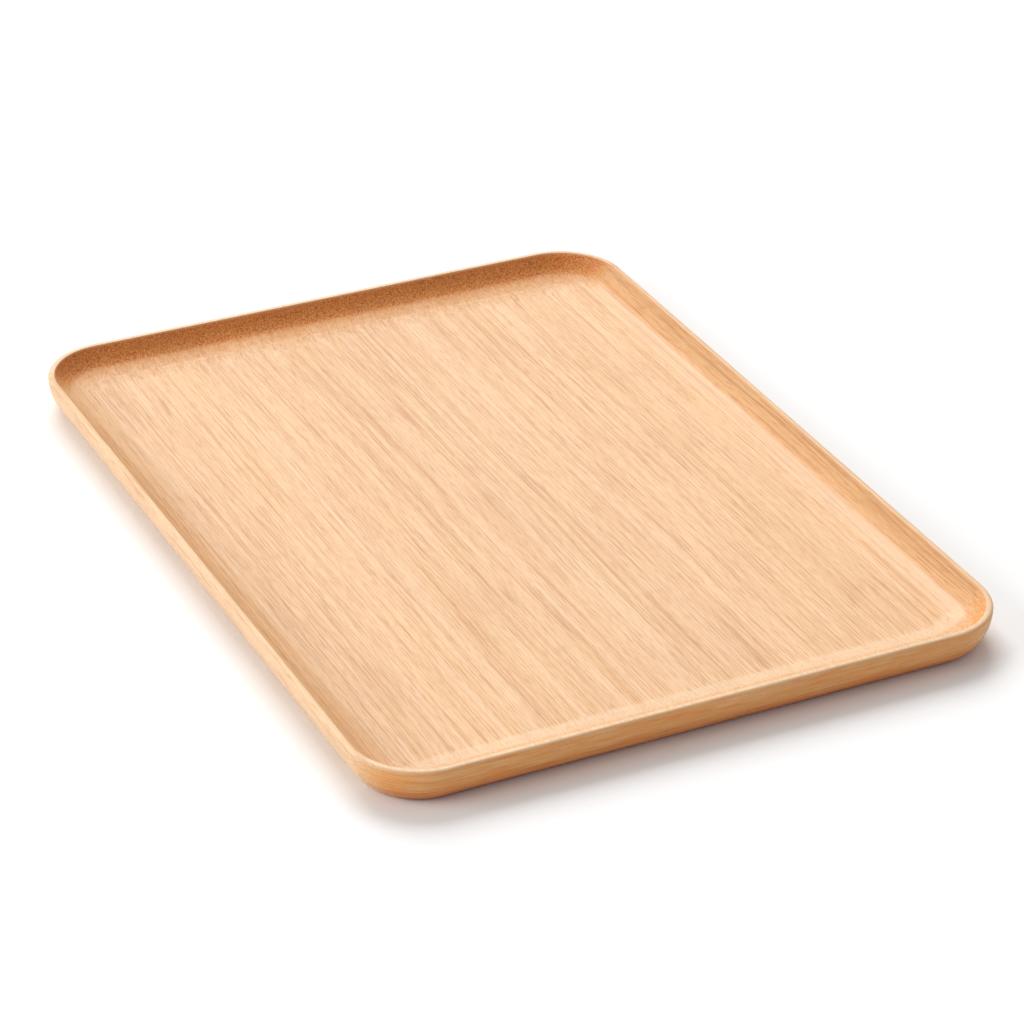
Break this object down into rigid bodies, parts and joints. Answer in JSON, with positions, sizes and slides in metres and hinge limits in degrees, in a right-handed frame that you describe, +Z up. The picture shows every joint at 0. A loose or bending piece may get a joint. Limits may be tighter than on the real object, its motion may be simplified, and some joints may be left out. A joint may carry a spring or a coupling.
{
  "type": "serving tray",
  "caption": "Rectangular bamboo serving tray with round corners, a shallow milled dish and a scooped underside edge, built up from glued strips.",
  "frame": {"origin": "middle of the underside, which is also the middle of the bounding box's bottom", "axes": "+Y along the tray's longer side and the bamboo's grain, +X across it, +Z up out of the dish"},
  "size_m": [0.3, 0.4, 0.018],
  "materials": {
    "bamboo_lower": "satin oiled bamboo, lengthwise grain, pale honey",
    "bamboo_middle": "satin oiled bamboo, lengthwise grain, pale honey",
    "bamboo_top": "satin oiled bamboo, lengthwise grain, pale honey"
  },
  "bodies": {
    "root": {"lower_strip_01": "bamboo_lower", "lower_strip_02": "bamboo_lower", "lower_strip_03": "bamboo_lower", "lower_strip_04": "bamboo_lower", "lower_strip_05": "bamboo_lower", "lower_strip_06": "bamboo_lower", "lower_strip_07": "bamboo_lower", "lower_strip_08": "bamboo_lower", "lower_strip_09": "bamboo_lower", "lower_strip_10": "bamboo_lower", "lower_strip_11": "bamboo_lower", "lower_strip_12": "bamboo_lower", "middle_back_block_03": "bamboo_middle", "middle_back_block_04": "bamboo_middle", "middle_back_block_05": "bamboo_middle", "middle_back_block_06": "bamboo_middle", "middle_back_block_07": "bamboo_middle", "middle_back_block_08": "bamboo_middle", "middle_back_block_09": "bamboo_middle", "middle_back_block_10": "bamboo_middle", "middle_back_block_11": "bamboo_middle", "middle_front_block_03": "bamboo_middle", "middle_front_block_04": "bamboo_middle", "middle_front_block_05": "bamboo_middle", "middle_front_block_06": "bamboo_middle", "middle_front_block_07": "bamboo_middle", "middle_front_block_08": "bamboo_middle", "middle_front_block_09": "bamboo_middle", "middle_front_block_10": "bamboo_middle", "middle_front_block_11": "bamboo_middle", "middle_strip_01": "bamboo_middle", "middle_strip_02": "bamboo_middle", "middle_strip_12": "bamboo_middle", "middle_strip_13": "bamboo_middle", "top_back_block_02": "bamboo_top", "top_back_block_03": "bamboo_top", "top_back_block_04": "bamboo_top", "top_back_block_05": "bamboo_top", "top_back_block_06": "bamboo_top", "top_back_block_07": "bamboo_top", "top_back_block_08": "bamboo_top", "top_back_block_09": "bamboo_top", "top_back_block_10": "bamboo_top", "top_back_block_11": "bamboo_top", "top_front_block_02": "bamboo_top", "top_front_block_03": "bamboo_top", "top_front_block_04": "bamboo_top", "top_front_block_05": "bamboo_top", "top_front_block_06": "bamboo_top", "top_front_block_07": "bamboo_top", "top_front_block_08": "bamboo_top", "top_front_block_09": "bamboo_top", "top_front_block_10": "bamboo_top", "top_front_block_11": "bamboo_top", "top_strip_01": "bamboo_top", "top_strip_12": "bamboo_top"}
  },
  "joints": []
}
